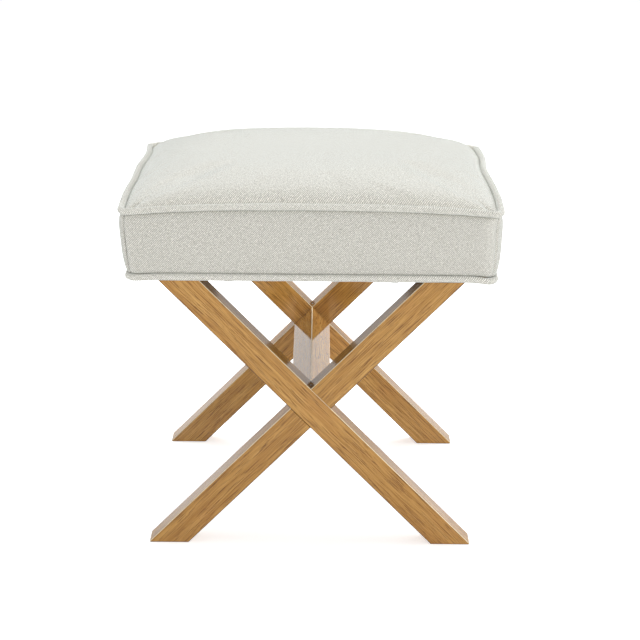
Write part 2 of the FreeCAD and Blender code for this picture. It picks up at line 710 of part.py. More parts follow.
def crown_share(place):
    """Height of the crown, 1 in the middle and 0 at the edge, at a share of the half size."""
    return 1 - abs(place) ** ROUND_OVER


def crown_section(place, drop):
    """A closed profile across the cushion: a floor, two sides, two shoulders and a flat top arc."""
    half_x, half_y = size("Sheet.seat_width / 2"), size("Sheet.seat_depth / 2")
    bow, crown = size("Sheet.edge_bow"), size("Sheet.crown_height")
    corner = size(TOP_WELT_Z) - drop
    edge = corner + bow * (1 - place ** 2)
    rise = corner + bow + crown * crown_share(place) - edge
    x = place * half_x

    def at(share):
        return Vector(x, share * half_y, edge + rise * crown_share(share))

    reach = CROWN_SECTIONS[-1]
    top = Part.Arc(at(-SHOULDER), at(0), at(SHOULDER)).toShape()
    rear = tangent_arc(at(SHOULDER), top.tangentAt(top.LastParameter), at(reach))
    front = tangent_arc(at(-SHOULDER), top.tangentAt(top.FirstParameter) * -1, at(-reach))
    floor = size(RAIL_Z) - size("Sheet.stock")
    corners = [at(-reach), Vector(x, -reach * half_y, floor), Vector(x, reach * half_y, floor), at(reach)]
    lines = [Part.makeLine(a, b) for a, b in zip(corners, corners[1:])]
    return Part.Wire(Part.__sortEdges__([front, top, rear] + lines))


def under_crown(label, drop):
    """Everything below the crown when it is lowered by drop."""
    sections = [crown_section(place, size(drop)) for place in CROWN_SECTIONS]
    return feature(label, Part.makeLoft(sections, True, False))


def column(label, half_x, half_y, radius, bottom):
    """An upright block with rounded corners, from a height to above the crown."""
    outline = Part.Face(loop(size(half_x), size(half_y), size(radius), size(bottom), 0))
    height = size("2 * (Sheet.box_height + Sheet.crown_height)")
    return feature(label, outline.extrude(Vector(0, 0, height)))


crown_outside = under_crown("crown_outside", "0")
crown_inside = under_crown("crown_inside", "Sheet.fabric")
crown_of_foam = under_crown("crown_of_foam", "Sheet.fabric + Sheet.wadding")
wall_outside = feature("wall_outside", wall_form(0))
wall_inside = feature("wall_inside", wall_form(size("Sheet.fabric")))

# the top panel reaches the inner side of the top welt
PANEL_X = f"Sheet.seat_width / 2 - {WELT_CLEAR}"
PANEL_Y = f"Sheet.seat_depth / 2 - {WELT_CLEAR}"
PANEL_ROUND = f"Sheet.corner_round - {WELT_CLEAR}"
panel_outline = column("top_panel_outline", PANEL_X, PANEL_Y, PANEL_ROUND, FOAM_Z)
cover_top_panel = cut("cover_top_panel", common("top_panel_blank", panel_outline, crown_outside),
                      crown_inside)

# the walls stand between the two welts and meet at seams up the corners
wall_shell = cut("wall_shell", wall_outside, wall_inside, top_clear, base_clear)
walls = common("walls", wall_shell, crown_inside)
SEAM_X = "(Sheet.seat_width / 2 - Sheet.corner_round)"
SEAM_Y = "(Sheet.seat_depth / 2 - Sheet.corner_round)"
REACH = "2 * Sheet.corner_round"


def wall_panel(label, side_x, side_y):
    """The part of the walls that faces one way, between the two corner seams."""
    if side_y:
        outline = [
            (f"-{SEAM_X}", f"{side_y} * {SEAM_Y}"),
            (SEAM_X, f"{side_y} * {SEAM_Y}"),
            (f"{SEAM_X} + {REACH}", f"{side_y} * ({SEAM_Y} + {REACH})"),
            (f"-{SEAM_X} - {REACH}", f"{side_y} * ({SEAM_Y} + {REACH})"),
        ]
    else:
        outline = [
            (f"{side_x} * {SEAM_X}", f"-{SEAM_Y}"),
            (f"{side_x} * {SEAM_X}", SEAM_Y),
            (f"{side_x} * ({SEAM_X} + {REACH})", f"{SEAM_Y} + {REACH}"),
            (f"{side_x} * ({SEAM_X} + {REACH})", f"-{SEAM_Y} - {REACH}"),
        ]
    corners = [Vector(size(x), size(y), size(RAIL_Z) - size("Sheet.stock")) for x, y in outline]
    wedge = Part.Face(Part.makePolygon(corners + corners[:1]))
    wedge = wedge.extrude(Vector(0, 0, size("2 * Sheet.box_height")))
    return common(label, walls, feature(f"{label}_wedge", wedge))


cover_front_panel = wall_panel("cover_front_panel", 0, -1)
cover_rear_panel = wall_panel("cover_rear_panel", 0, 1)
cover_left_panel = wall_panel("cover_left_panel", -1, 0)
cover_right_panel = wall_panel("cover_right_panel", 1, 0)

# foam on the board, and the wadding that fills the room between foam, rails and cover
foam_column = column("foam_column", f"{RAIL_X} + Sheet.foam_overhang", f"{RAIL_Y} + Sheet.foam_overhang",
                     "Sheet.corner_round", FOAM_Z)
foam_pad = common("foam_pad", foam_column, crown_of_foam)
wadding = cut("wadding", common("wadding_blank", wall_inside, crown_inside),
              top_clear, base_clear, frame_outline, foam_pad)


# Base welt: its sewn lip is turned in under the rails and stapled there

lip_hole = box("lip_hole", "0", "0", DUST_Z, f"2 * ({RAIL_X} - Sheet.lip_width)",
               f"2 * ({RAIL_Y} - Sheet.lip_width)", "Sheet.stock")
lip_outline = loop(size(f"{BASE_WIDTH} / 2"), size(f"{BASE_DEPTH} / 2"), size("Sheet.corner_round"),
                   size(LIP_Z), 0)
lip = feature("lip_blank", Part.Face(lip_outline).extrude(Vector(0, 0, size("Sheet.fabric"))))
base_welt = cut("base_welt", fuse("base_welt_blank", base_tube, cut("lip", lip, lip_hole)),
                base_welt_cord, cover_staples, dust_staples, seat_bolts)

# Dust cover: thin cloth under everything, inside the base welt
dust_sheet = box("dust_sheet", "0", "0", DUST_Z,
                 f"{BASE_WIDTH} - 2 * (Sheet.welt_radius + Sheet.dust_margin)",
                 f"{BASE_DEPTH} - 2 * (Sheet.welt_radius + Sheet.dust_margin)", "Sheet.dust_cloth")
dust_cover = cut("dust_cover", dust_sheet, dust_staples, seat_bolts)


# Write each sub-part once everything is sound

SUB_PARTS = [
    front_leg_through, front_leg_lapped, rear_leg_through, rear_leg_lapped,
    stretcher, stretcher_dowels, lap_screws,
    front_leg_plate, rear_leg_plate, leg_screws, seat_bolts, bolt_washers, threaded_inserts,
    front_rail, rear_rail, left_rail, right_rail, joint_screws,
    *corner_blocks, block_screws, seat_board, board_screws,
    foam_pad, wadding, cover_top_panel,
    cover_front_panel, cover_rear_panel, cover_left_panel, cover_right_panel,
    top_welt, top_welt_cord, base_welt, base_welt_cord,
    cover_staples, dust_cover, dust_staples,
]

doc.recompute()
for thing in doc.Objects:
    if {"Invalid", "Error"} & set(thing.State):
        raise RuntimeError(f"{thing.Label} failed: {thing.getStatusString()}")
for thing in SUB_PARTS:
    if thing.Shape.isNull() or not thing.Shape.isValid() or not thing.Shape.Solids:
        raise RuntimeError(f"{thing.Label} is not sound")

os.makedirs("parts", exist_ok=True)
for thing in SUB_PARTS:
    thing.Shape.exportStep(f"parts/{thing.Label}.step")
    print(f"{thing.Label}: {len(thing.Shape.Solids)} solids, {thing.Shape.Volume / 1000:.1f} cm3")
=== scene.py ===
import json
import math

import bpy
import numpy as np
from mathutils import Matrix, Vector


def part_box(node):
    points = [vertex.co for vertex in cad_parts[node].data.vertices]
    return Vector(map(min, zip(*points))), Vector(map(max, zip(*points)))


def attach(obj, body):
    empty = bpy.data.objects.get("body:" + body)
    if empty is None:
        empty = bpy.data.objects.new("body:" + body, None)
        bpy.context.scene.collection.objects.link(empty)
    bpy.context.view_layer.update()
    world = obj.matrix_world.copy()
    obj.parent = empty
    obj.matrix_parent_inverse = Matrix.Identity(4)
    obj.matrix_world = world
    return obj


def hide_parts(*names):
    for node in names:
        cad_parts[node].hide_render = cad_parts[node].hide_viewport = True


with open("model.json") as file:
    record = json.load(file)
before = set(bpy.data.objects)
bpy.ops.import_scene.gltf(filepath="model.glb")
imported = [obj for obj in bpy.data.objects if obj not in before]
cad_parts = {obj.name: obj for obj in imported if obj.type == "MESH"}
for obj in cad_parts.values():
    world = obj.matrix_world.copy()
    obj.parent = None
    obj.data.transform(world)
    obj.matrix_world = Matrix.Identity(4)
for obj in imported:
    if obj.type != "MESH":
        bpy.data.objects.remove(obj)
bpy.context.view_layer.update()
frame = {"nodes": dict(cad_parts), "record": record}
nodes = frame["nodes"]
SLOT_OF = {row["node"]: row["material_slot"] for row in frame["record"]["subparts"]}
BODY = "root"
TAU = 2 * math.pi
MM = 0.001


# Sizes that the seat's soft pieces share, in metres, read from the frame

welt_low, welt_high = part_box("top_welt")
base_low, base_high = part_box("base_welt")
rail_low, rail_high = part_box("front_rail")
board_low, board_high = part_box("seat_board")
dust_low, dust_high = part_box("dust_cover")

WELT = 4.2 * MM                             # radius of both welts
TOP_X = welt_high.x - WELT                  # middle line of the top welt, at the right
TOP_Y = welt_high.y - WELT                  # the same at the rear
TOP_Z = welt_low.z + WELT                   # its height at the corners
BASE_X = base_high.x - WELT                 # middle line of the base welt, likewise
BASE_Y = base_high.y - WELT
BASE_Z = base_low.z + WELT
TOP_CORNER = 12 * MM                        # corner radius of the top welt's middle line
BASE_CORNER = 12 * MM
CLOTH = 1.2 * MM                            # thickness of the cover
EDGE_BOW = 8 * MM                           # rise of the top welt from corner to middle
CROWN = 32.0 * MM                           # rise of the crown above the welt's level
SIDE_BULGE = 5.0 * MM                       # how far the walls swell at half their height


# Camera, as the photograph was taken

CAMERA_PLACE = Vector((7.06, -2656.9, 944.5)) * MM
CAMERA_TURN = (0.079, 15.07, 0.504)         # yaw, pitch and roll in degrees
LENS = 118.06                               # in mm, for the sensor's width
SENSOR = 36


def make_camera():
    """A long lens in front, a little above the seat, turned slightly about its own axis."""
    yaw, pitch, roll = (math.radians(angle) for angle in CAMERA_TURN)
    ahead = Vector((math.sin(yaw) * math.cos(pitch), math.cos(yaw) * math.cos(pitch), -math.sin(pitch)))
    right = Vector((math.cos(yaw), -math.sin(yaw), 0))
    up = right.cross(ahead)
    right, up = (
        math.cos(roll) * right + math.sin(roll) * up,
        math.cos(roll) * up - math.sin(roll) * right,
    )
    data = bpy.data.cameras.new("camera")
    data.sensor_width = SENSOR
    data.lens = LENS
    camera = bpy.data.objects.new("camera", data)
    turn = Matrix((right, up, -ahead)).transposed().to_4x4()
    camera.matrix_world = Matrix.Translation(CAMERA_PLACE) @ turn
    bpy.context.scene.collection.objects.link(camera)
    bpy.context.scene.camera = camera


# Materials: a small language for node graphs

class Graph:
    """The node tree of a material, or of a world, with short calls for what is used here."""

    def __init__(self, owner):
        owner.use_nodes = True
        self.tree = owner.node_tree
        self.tree.nodes.clear()

    def node(self, kind, inputs=None, **settings):
        made = self.tree.nodes.new(kind)
        for name, value in settings.items():
            setattr(made, name, value)
        for name, value in (inputs or {}).items():
            self.feed(made.inputs[name], value)
        return made

    def feed(self, socket, value):
        """Link an output to a socket, or set the socket's own value."""
        if isinstance(value, bpy.types.NodeSocket):
            self.tree.links.new(value, socket)
        else:
            socket.default_value = value

    def maths(self, operation, first, second=0.0, third=0.0):
        made = self.node("ShaderNodeMath", operation=operation)
        for socket, value in zip(made.inputs, (first, second, third)):
            self.feed(socket, value)
        return made.outputs[0]

    def place(self):
        """The object's own coordinates, in metres."""
        return self.node("ShaderNodeTexCoord").outputs["Object"]

    def parts(self, vector):
        """A vector's X, Y and Z."""
        return tuple(self.node("ShaderNodeSeparateXYZ", {"Vector": vector}).outputs)

    def joined(self, **parts):
        """A vector made of the parts X, Y and Z that are given, and of zeros."""
        return self.node("ShaderNodeCombineXYZ", parts).outputs[0]

    def shifted(self, vector, amount, factors):
        """A vector moved by another one, which is multiplied part by part first."""
        made = self.node("ShaderNodeVectorMath", operation="MULTIPLY_ADD")
        for socket, value in zip(made.inputs, (amount, factors, vector)):
            self.feed(socket, value)
        return made.outputs[0]

    def scaled(self, vector, factors):
        made = self.node("ShaderNodeVectorMath", operation="MULTIPLY")
        self.feed(made.inputs[0], vector)
        self.feed(made.inputs[1], factors)
        return made.outputs[0]

    def noise(self, vector, scale=1.0, detail=3.0, roughness=0.5, distortion=0.0):
        made = self.node("ShaderNodeTexNoise", {
            "Vector": vector, "Scale": scale, "Detail": detail,
            "Roughness": roughness, "Distortion": distortion,
        })
        return made.outputs["Fac"]

    def spread(self, value, low, high, to_low=0.0, to_high=1.0):
        """A value's range from low to high drawn out to another range, and clamped."""
        made = self.node("ShaderNodeMapRange", {
            "Value": value, "From Min": low, "From Max": high, "To Min": to_low, "To Max": to_high,
        })
        return made.outputs["Result"]

    def ramp(self, value, *stops):
        """Colours between places from 0 to 1."""
        made = self.node("ShaderNodeValToRGB", {"Fac": value})
        while len(made.color_ramp.elements) < len(stops):
            made.color_ramp.elements.new(0.5)
        for element, (position, colour) in zip(made.color_ramp.elements, stops):
            element.position = position
            element.color = (*colour, 1)
        return made.outputs["Color"]

    def mix(self, share, first, second, how="MIX"):
        """Two colours mixed by a share, or multiplied and so on."""
        made = self.node("ShaderNodeMix", data_type="RGBA", blend_type=how)
        self.feed(made.inputs["Factor"], share)
        for socket, value in zip((made.inputs[6], made.inputs[7]), (first, second)):
            self.feed(socket, value if isinstance(value, bpy.types.NodeSocket) else (*value, 1))
        return made.outputs[2]

    def lighter(self, colour, factor):
        """A colour whose three parts are multiplied by one value."""
        grey = self.node("ShaderNodeCombineColor", {"Red": factor, "Green": factor, "Blue": factor})
        return self.mix(1.0, colour, grey.outputs["Color"], "MULTIPLY")

    def bump(self, height, distance, strength):
        made = self.node("ShaderNodeBump", {"Height": height, "Distance": distance, "Strength": strength})
        return made.outputs["Normal"]

    def surface(self, **inputs):
        """The principled shader and the output, which end a material."""
        shader = self.node("ShaderNodeBsdfPrincipled")
        for name, value in inputs.items():
            self.feed(shader.inputs[name.replace("_", " ")], value)
        output = self.node("ShaderNodeOutputMaterial")
        self.tree.links.new(shader.outputs[0], output.inputs["Surface"])


def new_material(name):
    material = bpy.data.materials.new(name)
    return material, Graph(material)


# How often the oak's figures repeat in a metre, along the grain and twice across it
GRAIN_BENDS = (5, 24, 24)
GRAIN_BANDS = (4, 130, 130)
GRAIN_LINES = (13, 800, 800)
GRAIN_PORES = (30, 1450, 1450)
GRAIN_SWAY = (0, 10 * MM, 10 * MM)          # how far the bends carry the grain aside

OAK_DEEP, OAK_MIDDLE, OAK_PALE = (0.390, 0.190, 0.044), (0.500, 0.265, 0.068), (0.610, 0.350, 0.104)
LINE_BROWN, PATCH_RED, PORE_DARK = (0.330, 0.148, 0.032), (0.440, 0.190, 0.050), (0.160, 0.064, 0.016)
# painted highlight and painted shade for the bars' rounded edges
EDGE_HIGHLIGHT_PAINT, EDGE_SHADE_PAINT = (1.00, 0.88, 0.62), (0.06, 0.024, 0.006)
HEIGHT_LIGHT_FROM, HEIGHT_LIGHT_TO = 0.06, 0.30           # heights between which the painted light on the bars changes


def oak_figure(g, along):
    """The wood's own colour, and the noise of its fine lines and of its pores."""
    warp = g.noise(g.scaled(along, GRAIN_BENDS), detail=2)
    grain = g.shifted(along, g.joined(Y=warp, Z=warp), GRAIN_SWAY)
    bands = g.noise(g.scaled(grain, GRAIN_BANDS), detail=4, roughness=0.6)
    lines = g.noise(g.scaled(grain, GRAIN_LINES), detail=4, roughness=0.6)
    pores = g.noise(g.scaled(grain, GRAIN_PORES), detail=2, roughness=0.5)
    patches = g.noise(along, scale=11, detail=2)
    colour = g.ramp(g.spread(bands, 0.32, 0.70), (0.0, OAK_DEEP), (0.45, OAK_MIDDLE), (1.0, OAK_PALE))
    colour = g.mix(g.spread(lines, 0.45, 0.58, 0, 0.62), colour, LINE_BROWN)
    colour = g.mix(g.spread(patches, 0.55, 0.75, 0, 0.40), colour, PATCH_RED)
    colour = g.mix(g.spread(pores, 0.55, 0.62, 0, 0.85), colour, PORE_DARK)
    return colour, lines, pores


def with_painted_edge_light(g, colour, upward, rounded):
    """A colour with a painted highlight on rounded edges that look up, and painted shade on those that
    look down, half as strong at the soles.
    """
    above = g.spread(upward, 0.1, 0.4, 0, 1.0)
    below = g.maths("MULTIPLY", g.spread(upward, 0.0, -0.3), g.spread(upward, -0.99, -0.95, 0.5, 1.0))
    # painted highlight on the edges that look up, then painted shade on those that look down
    colour = g.mix(g.maths("MULTIPLY", rounded, above), colour, EDGE_HIGHLIGHT_PAINT)
    return g.mix(g.maths("MULTIPLY", rounded, below), colour, EDGE_SHADE_PAINT)


def lacquered_oak(name, turn, offset, tone_and_height_light, upper, painted_side_light, coat):
    """Oak under clear lacquer; turn lays the grain's own X axis along the bar.

    After turn and offset come how light the bar is at the floor and at the seat, partly its own tone and
    partly painted light that lifts the rear bars towards the seat, against its shadow; a further factor, a
    painted shade, for faces that look up; how much lighter faces towards +X are, a painted light from the
    right; and the lacquer's weight.
    """
    material, g = new_material(name)
    place = g.place()
    along = g.node("ShaderNodeMapping", {"Vector": place, "Rotation": turn, "Location": offset}).outputs[0]
    colour, lines, pores = oak_figure(g, along)
    sideways, upward, rounded = edge_facts(g, turn)
    _, _, height = g.parts(place)
    # painted light on top of each bar's own tone: lighter towards +X and by height, and painted shade on
    # faces that look up
    shade = g.maths("MULTIPLY_ADD", sideways, painted_side_light, 1.0)
    shade = g.maths("MULTIPLY", g.spread(height, HEIGHT_LIGHT_FROM, HEIGHT_LIGHT_TO, *tone_and_height_light), shade)
    shade = g.maths("MULTIPLY", shade, g.spread(upward, 0.2, 0.6, 1.0, upper))
    relief = g.maths("ADD", g.maths("MULTIPLY", lines, 0.4), g.spread(pores, 0.60, 0.72, 0, -1))
    speckle = g.noise(along, scale=900, detail=1)
    g.surface(
        Base_Color=g.lighter(with_painted_edge_light(g, colour, upward, rounded), shade),
        Roughness=g.spread(lines, 0.3, 0.7, 0.38, 0.55),
        Specular_IOR_Level=0.0,
        Coat_Weight=coat,
        Coat_Roughness=0.10,
        Coat_IOR=1.5,
        Normal=g.bump(relief, 0.12 * MM, 0.5),
        Coat_Normal=g.bump(speckle, 0.02 * MM, 0.35),
    )
    return material


def edge_facts(g, turn):
    """How far a face looks right and up, and how far its direction is from the bar's own three."""
    outward = g.node("ShaderNodeNewGeometry").outputs["Normal"]
    own = g.node("ShaderNodeMapping", {"Vector": outward, "Rotation": turn}, vector_type="NORMAL")
    sizes = g.node("ShaderNodeVectorMath", operation="ABSOLUTE")
    g.feed(sizes.inputs[0], own.outputs[0])
    x, y, z = g.parts(sizes.outputs[0])
    largest = g.maths("MAXIMUM", g.maths("MAXIMUM", x, y), z)
    right, _, up = g.parts(outward)
    return right, up, g.spread(largest, 0.995, 0.88, 0, 1)


def raw_wood(name, light, dark, turn=(0, 0, 0)):
    """Unfinished wood of the hidden frame, with its grain along the turned X axis."""
    material, g = new_material(name)
    place = g.place()
    along = g.node("ShaderNodeMapping", {"Vector": place, "Rotation": turn}).outputs[0]
    rings = g.noise(g.scaled(along, (5, 180, 180)), detail=4, distortion=0.3)
    fibres = g.noise(g.scaled(along, (40, 1300, 1300)), detail=2)
    colour = g.mix(g.spread(rings, 0.35, 0.7), light, dark)
    colour = g.mix(g.spread(fibres, 0.4, 0.7, 0, 0.25), colour, dark)
    g.surface(
        Base_Color=colour,
        Roughness=g.spread(fibres, 0.3, 0.7, 0.65, 0.85),
        Normal=g.bump(fibres, 0.2 * MM, 0.6),
    )
    return material


PLY = 1.8 * MM                              # thickness of one ply of the seat board


def plywood():
    """Plies show as bands on the board's edges, and a rotary-cut face on top."""
    material, g = new_material("plywood")
    place = g.place()
    _, _, height = g.parts(place)
    ply = g.maths("PINGPONG", g.maths("SUBTRACT", height, board_low.z), PLY)
    face = g.noise(g.scaled(place, (6, 60, 6)), detail=5, distortion=1.2)
    colour = g.ramp(g.spread(face, 0.3, 0.7), (0, (0.62, 0.46, 0.29)), (1, (0.47, 0.32, 0.18)))
    colour = g.mix(g.spread(ply, 0.5 * MM, 1.3 * MM, 0, 0.5), colour, (0.30, 0.19, 0.10))
    g.surface(Base_Color=colour, Roughness=0.75, Normal=g.bump(face, 0.3 * MM, 0.4))
    return material


def metal(name, colour, roughness, scratch):
    """Plated steel with fine scratches, as deep as scratch, and a slightly uneven shine."""
    material, g = new_material(name)
    place = g.place()
    lines = g.noise(g.scaled(place, (2500, 250, 2500)), detail=2)
    cloud = g.noise(place, scale=120, detail=3)
    g.surface(
        Base_Color=g.mix(g.spread(cloud, 0.3, 0.7, 0, 0.3), colour, tuple(c * 0.7 for c in colour)),
        Metallic=1.0,
        Roughness=g.spread(lines, 0.3, 0.7, roughness, roughness + 0.15),
        Normal=g.bump(lines, scratch, 0.5),
    )
    return material


def black_paint():
    """Powder-coated steel plate: fine orange peel, paler where it is rubbed."""
    material, g = new_material("plate_steel")
    place = g.place()
    peel = g.noise(place, scale=1400, detail=2)
    rubbed = g.noise(place, scale=35, detail=5, roughness=0.7)
    g.surface(
        Base_Color=g.mix(g.spread(rubbed, 0.55, 0.75, 0, 0.5), (0.022, 0.022, 0.023), (0.06, 0.06, 0.06)),
        Roughness=g.spread(rubbed, 0.3, 0.7, 0.42, 0.6),
        Normal=g.bump(peel, 0.08 * MM, 0.6),
    )
    return material


YARN = 0.66 * MM                            # from one yarn of the cover to the next
YARN_SWAY = (1.2 * MM, 1.2 * MM, 0)         # how far the yarns wander from straight lines
YARN_SHADES = 260                           # how often a yarn's shade changes in a metre
WARP_DARK, WARP_PALE = (0.640, 0.630, 0.565), (1.000, 0.995, 0.950)
WEFT_DARK, WEFT_PALE = (0.200, 0.188, 0.150), (0.580, 0.564, 0.495)
# the middle colour here is painted shade where the yarns dip between each other
FLECK_GREY, GAP_SHADE_PAINT, FIBRE_WHITE = (0.30, 0.285, 0.23), (0.33, 0.31, 0.26), (0.90, 0.89, 0.86)
SEAM_SHADOW = (0.13, 0.125, 0.095)


def weave(g, cloth):
    """Where the warp lies on top, how high the upper yarn stands, and which crossing it is."""
    wander = g.noise(cloth, scale=60, detail=2)
    waver = g.maths("MULTIPLY_ADD", g.noise(cloth, scale=420, detail=1), 0.5, wander)
    placed = g.shifted(cloth, g.joined(X=wander, Y=waver), YARN_SWAY)
    u, v, _ = g.parts(g.scaled(placed, (1 / YARN, 1 / YARN, 0)))
    column, row = g.maths("FLOOR", u), g.maths("FLOOR", v)
    step = g.maths("FLOORED_MODULO", g.maths("SUBTRACT", column, row), 4)
    warp_up = g.maths("LESS_THAN", step, 2)
    warp_round = g.maths("SINE", g.maths("MULTIPLY", g.maths("FRACT", u), math.pi))
    weft_round = g.maths("SINE", g.maths("MULTIPLY", g.maths("FRACT", v), math.pi))
    height = g.node("ShaderNodeMix", {"Factor": warp_up}, data_type="FLOAT")
    g.feed(height.inputs[2], weft_round)
    g.feed(height.inputs[3], warp_round)
    return warp_up, height.outputs[0], g.joined(X=column, Y=row)


def twill(name, light):
    """Woven twill: rows of floats that step one yarn at a time, from the cloth's own coordinates."""
    material, g = new_material(name)
    cloth = g.node("ShaderNodeAttribute", attribute_name="cloth").outputs["Vector"]
    warp_up, height, crossing = weave(g, cloth)

    # each yarn has its own shade, which changes slowly along it
    warp_yarn = g.noise(g.scaled(cloth, (1 / YARN, YARN_SHADES, 0)), detail=2, roughness=0.7)
    weft_yarn = g.noise(g.scaled(cloth, (YARN_SHADES, 1 / YARN, 0)), detail=2, roughness=0.7)
    warp = g.ramp(g.spread(warp_yarn, 0.3, 0.7), (0, WARP_DARK), (1, WARP_PALE))
    weft = g.ramp(g.spread(weft_yarn, 0.3, 0.7), (0, WEFT_DARK), (1, WEFT_PALE))
    colour = g.mix(warp_up, weft, warp)

    # dark crossings here and there, painted shade between the yarns, and pale fibres that stand up
    fleck = g.node("ShaderNodeTexWhiteNoise", {"Vector": crossing}, noise_dimensions="2D").outputs["Value"]
    fibre = g.noise(cloth, scale=1500, detail=3, roughness=0.7)
    colour = g.mix(g.spread(fleck, 0.0, 0.45, 0.55, 0.0), colour, FLECK_GREY)
    colour = g.mix(g.spread(height, 0.0, 0.5, 0.45, 0.0), colour, GAP_SHADE_PAINT)
    colour = g.mix(g.spread(fibre, 0.40, 0.65, 0.0, 0.30), colour, FIBRE_WHITE)

    # uneven yarn in patches of a few crossings, and painted shade in the seams
    heather = g.noise(cloth, scale=450, detail=2, roughness=0.7)
    # the factor light includes painted light: the crown's and the welts' copies of this cloth are made
    # lighter for where the lamps fall on them
    colour = g.lighter(colour, g.spread(heather, 0.37, 0.63, 0.88 * light, 1.12 * light))
    seam_shade = g.node("ShaderNodeAttribute", attribute_name="seam_shade").outputs["Fac"]
    colour = g.mix(g.spread(seam_shade, 0.3, 1.0, 0.0, 0.35), colour, SEAM_SHADOW)
    relief = g.maths("ADD", height, g.maths("MULTIPLY", fibre, 0.5))
    g.surface(
        Base_Color=colour,
        Roughness=0.92,
        Specular_IOR_Level=0.2,
        Sheen_Weight=1.0,
        Sheen_Roughness=0.30,
        Sheen_Tint=(0.93, 1.0, 0.99, 1),
        Normal=g.bump(relief, 0.22 * MM, 0.8),
    )
    return material


def black_cloth():
    """Thin non-woven cloth, bonded at many small points."""
    material, g = new_material("black_cloth")
    place = g.place()
    cells = g.node("ShaderNodeTexVoronoi", {"Vector": place, "Scale": 700.0}).outputs["Distance"]
    fibres = g.noise(g.scaled(place, (500, 90, 500)), detail=4, roughness=0.7)
    g.surface(
        Base_Color=g.mix(g.spread(fibres, 0.3, 0.75), (0.012, 0.012, 0.013), (0.045, 0.045, 0.047)),
        Roughness=0.88,
        Sheen_Weight=0.2,
        Normal=g.bump(g.maths("ADD", cells, fibres), 0.2 * MM, 0.7),
    )
    return material


def wadding():
    """White fibre wadding."""
    material, g = new_material("wadding")
    place = g.place()
    tufts = g.node("ShaderNodeTexVoronoi", {"Vector": place, "Scale": 900.0}).outputs["Distance"]
    cloud = g.noise(place, scale=40, detail=4)
    g.surface(
        Base_Color=g.mix(g.spread(cloud, 0.3, 0.7), (0.85, 0.85, 0.83), (0.72, 0.72, 0.69)),
        Roughness=0.95,
        Sheen_Weight=0.2,
        Normal=g.bump(tufts, 0.6 * MM, 0.8),
    )
    return material


def wear(thing, material):
    """Give every face of an object one material."""
    thing.data.materials.clear()
    thing.data.materials.append(material)


def finish_nodes():
    """Materials of the CAD nodes that stay as they are."""
    # turns that lay the grain along bars that fall or rise to the right, run in depth, or stand on edge
    falling = (0, math.radians(-45), 0)
    rising = (0, math.radians(45), 0)
    lengthwise = (0, 0, math.radians(90))
    on_edge = (0, math.radians(45), math.radians(90))
    bars = {                                # turn, offset, lightness at the floor and at the seat (tone and painted light), painted shade on faces that look up, painted light towards +X, and coat
        "front_leg_through": (falling, (0.00, 0.03, 0.11), (1.03, 1.04), 0.78, 0.0, 0.62),
        "front_leg_lapped": (rising, (0.37, 0.21, 0.05), (0.96, 0.99), 0.72, 0.0, 0.62),
        # the rear bars are painted lighter towards the seat, against the shadow it casts on them; the
        # stretcher is painted lighter on its faces towards +X
        "rear_leg_through": (rising, (0.71, 0.13, 0.42), (0.85, 1.30), 0.64, 0.0, 0.60),
        "rear_leg_lapped": (falling, (1.13, 0.52, 0.29), (1.04, 1.60), 0.60, 0.0, 0.60),
        "stretcher": (on_edge, (0.93, 0.08, 0.66), (1.00, 1.00), 1.00, 0.25, 1.00),
    }
    for node, row in bars.items():
        wear(nodes[node], lacquered_oak(f"oak_{node}", *row))
    pine_light, pine_dark = (0.66, 0.50, 0.31), (0.50, 0.33, 0.17)
    across = raw_wood("pine_across", pine_light, pine_dark)
    deep = raw_wood("pine_deep", pine_light, pine_dark, lengthwise)
    beech = raw_wood("beech_dowel", (0.66, 0.49, 0.33), (0.52, 0.36, 0.22), lengthwise)
    zinc = metal("zinc_steel", (0.60, 0.60, 0.58), 0.28, 0.04 * MM)
    wire = metal("staple_steel", (0.66, 0.66, 0.66), 0.22, 0.02 * MM)
    plate, board = black_paint(), plywood()
    by_slot = {"beech_dowel": beech, "zinc_steel": zinc, "staple_steel": wire, "plate_steel": plate,
               "plywood": board, "pine": across}
    for name, thing in nodes.items():
        slot = SLOT_OF[name]
        if name in ("left_rail", "right_rail"):
            wear(thing, deep)
        elif slot in by_slot:
            wear(thing, by_slot[slot])


# Soft pieces: outlines and grids

def spaced(cells):
    """Places from -1 to 1 that lie closer together towards both ends."""
    steep = 0.75 * math.pi / 2              # with a quarter turn the last ones would touch
    return np.sin(np.linspace(-steep, steep, cells + 1)) / math.sin(steep)


def rim(cells):
    """The edge of the square from -1 to 1, once round anticlockwise from its front left corner."""
    line, one = spaced(cells)[:-1], np.ones(cells)
    return np.concatenate([line, one, -line, -one]), np.concatenate([-one, line, one, -line])


def rim_indices(cells):
    """The same points' numbers in a square grid whose rows run from front to back."""
    step = np.arange(cells)
    row = np.concatenate([0 * step, step, 0 * step + cells, cells - step])
    column = np.concatenate([step, 0 * step + cells, cells - step, 0 * step])
    return row * (cells + 1) + column


def plan(a, b, half_x, half_y, radius):
    """Points of the square laid out on a rounded rectangle, and the directions out of it."""
    ring = np.maximum(np.abs(a), np.abs(b))
    radius = radius * ring ** 5
    core_x, core_y = half_x * ring - radius, half_y * ring - radius
    over_x, over_y = np.abs(a) * half_x - core_x, np.abs(b) * half_y - core_y
    out_x, out_y = np.maximum(over_x, 0), np.maximum(over_y, 0)
    reach = np.maximum(np.hypot(out_x, out_y), 1e-9)
    in_corner = (over_x > 0) & (over_y > 0)
    pull = np.where(in_corner, radius / reach, 1)
    x = np.sign(a) * (core_x + over_x * pull)
    y = np.sign(b) * (core_y + over_y * pull)
    return x, y, np.sign(a) * out_x / reach, np.sign(b) * out_y / reach


def hump(place, middle, width):
    """A smooth bell, 1 in its middle."""
    return np.exp(-((place - middle) / width) ** 2)


def edge_rise(a, b):
    """How far the top edge bows up above its corners."""
    return EDGE_BOW * (1 - np.abs(a * b) ** 2.6)


